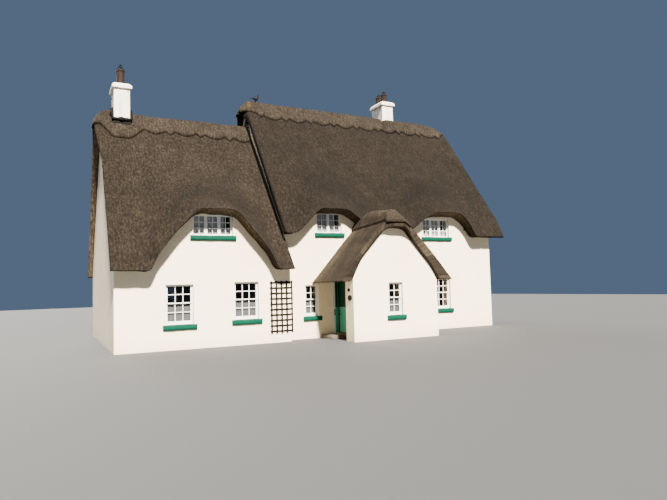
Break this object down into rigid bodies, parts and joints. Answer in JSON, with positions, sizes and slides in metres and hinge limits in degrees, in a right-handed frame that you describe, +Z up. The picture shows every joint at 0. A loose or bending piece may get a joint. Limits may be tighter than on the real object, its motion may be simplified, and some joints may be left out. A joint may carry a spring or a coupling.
{
  "type": "thatched cottage",
  "caption": "Limewashed thatched cottage with a low wing, a taller main block, raised eaves over the upper windows, two chimneys and a gabled porch with a half door.",
  "frame": {"origin": "on the ground, in the plane of the main ridge, midway along the front", "axes": "+X to the right along the front, +Y to the back, +Z up"},
  "size_m": [17.8674, 12.12, 12.2903],
  "materials": {
    "limewash": "matte",
    "thatch": "matte",
    "ridge_straw": "matte",
    "lead": "matte",
    "clay": "matte",
    "white_timber": "satin",
    "sill_paint": "satin",
    "green_paint": "satin",
    "glass": "gloss",
    "curtain": "matte",
    "floor_slab": "matte",
    "floor_boards": "matte",
    "step_stone": "matte",
    "dark_timber": "matte"
  },
  "bodies": {
    "house": {"left_gable_wall": "limewash", "left_front_wall": "limewash", "left_back_wall": "limewash", "main_left_gable_wall": "limewash", "main_right_gable_wall": "limewash", "main_front_wall": "limewash", "main_back_wall": "limewash", "porch_front_wall": "limewash", "porch_right_wall": "limewash", "porch_door_side_wall": "limewash", "porch_door_head_wall": "limewash", "chimney_stack_left": "limewash", "chimney_stack_right": "limewash", "left_thatch": "thatch", "main_thatch": "thatch", "porch_thatch": "thatch", "left_ridge_cap": "ridge_straw", "main_ridge_cap": "ridge_straw", "porch_ridge_cap": "ridge_straw", "straw_bird": "ridge_straw", "chimney_flashing_left": "lead", "gable_flashing": "lead", "chimney_pot_left_1": "clay", "chimney_pot_right_1": "clay", "chimney_pot_right_2": "clay", "window_left_lower_1": "white_timber", "window_left_lower_2": "white_timber", "window_left_upper": "white_timber", "window_main_lower_1": "white_timber", "window_main_lower_2": "white_timber", "window_main_upper_1": "white_timber", "window_main_upper_2": "white_timber", "window_porch": "white_timber", "window_back_left_lower": "white_timber", "window_back_left_upper": "white_timber", "window_back_main_lower_1": "white_timber", "window_back_main_lower_2": "white_timber", "window_back_main_upper": "white_timber", "glass_left_lower": "glass", "glass_left_upper": "glass", "glass_main_lower_1": "glass", "glass_main_lower_2": "glass", "glass_main_upper_1": "glass", "glass_main_upper_2": "glass", "glass_porch": "glass", "glass_back_left_lower": "glass", "glass_back_left_upper": "glass", "glass_back_main_lower": "glass", "glass_back_main_upper": "glass", "left_ground_floor": "floor_slab", "main_ground_floor": "floor_slab", "left_upper_floor": "floor_boards", "main_upper_floor": "floor_boards", "door_frame": "white_timber", "door_step": "step_stone", "porch_rafters": "dark_timber", "trellis": "dark_timber"},
    "lower_leaf": {"door_lower_leaf": "green_paint"},
    "upper_leaf": {"door_upper_leaf": "green_paint"}
  },
  "joints": [
    {"name": "lower_leaf_hinge", "type": "hinge", "parent": "house", "child": "lower_leaf", "pos_m": [0.157, -5.132, 0.7], "axis": [0, 0, -1], "range_deg": [0, 90]},
    {"name": "upper_leaf_hinge", "type": "hinge", "parent": "house", "child": "upper_leaf", "pos_m": [0.157, -5.132, 1.7], "axis": [0, 0, -1], "range_deg": [0, 90]}
  ]
}
